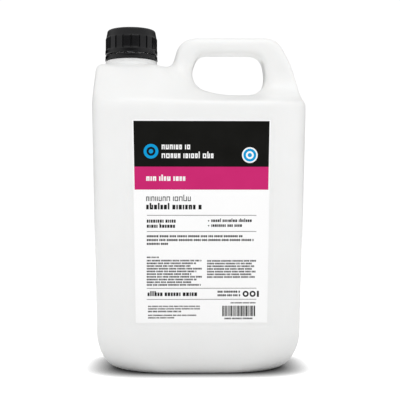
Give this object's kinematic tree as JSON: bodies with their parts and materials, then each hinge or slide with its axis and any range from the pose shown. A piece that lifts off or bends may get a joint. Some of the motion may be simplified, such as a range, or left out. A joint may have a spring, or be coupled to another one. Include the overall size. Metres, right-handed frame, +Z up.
{
  "type": "shampoo bottle",
  "caption": "Handled blow-moulded bottle for pet shampoo, with a ribbed tamper-evident screw cap, an offset threaded neck and a printed front label.",
  "frame": {"origin": "centre of the base, on the ground plane", "axes": "+Z up, -Y towards the label side, +X towards the handle side"},
  "size_m": [0.168, 0.128, 0.273],
  "materials": {
    "bottle_plastic": "white opaque polyethylene, smooth satin",
    "cap_plastic": "black polypropylene, satin",
    "liner_foam": "white foamed polyethylene",
    "label_film": "printed film, black header, magenta band and white body"
  },
  "bodies": {
    "bottle": {"bottle_body": "bottle_plastic", "front_label": "label_film"},
    "band": {"tamper_band": "cap_plastic"},
    "liner": {"cap_liner": "liner_foam"},
    "cap": {"cap_shell": "cap_plastic"}
  },
  "joints": [
    {"name": "cap_rise", "type": "slide", "parent": "bottle", "child": "liner", "axis": [0, 0, 1], "range_m": [0, 0.0253]},
    {"name": "cap_turn", "type": "hinge", "parent": "liner", "child": "cap", "pos_m": [-0.0549, 0, 0.2702], "axis": [0, 0, 1], "range_deg": [0, 2160]},
    {"name": "band_spin", "type": "hinge", "parent": "bottle", "child": "band", "pos_m": [-0.0549, 0, 0.2499], "axis": [0, 0, 1], "continuous": true}
  ],
  "couplings": [
    {"joint": "cap_rise", "follows": "cap_turn", "m_per_rad": 0.00066845}
  ]
}
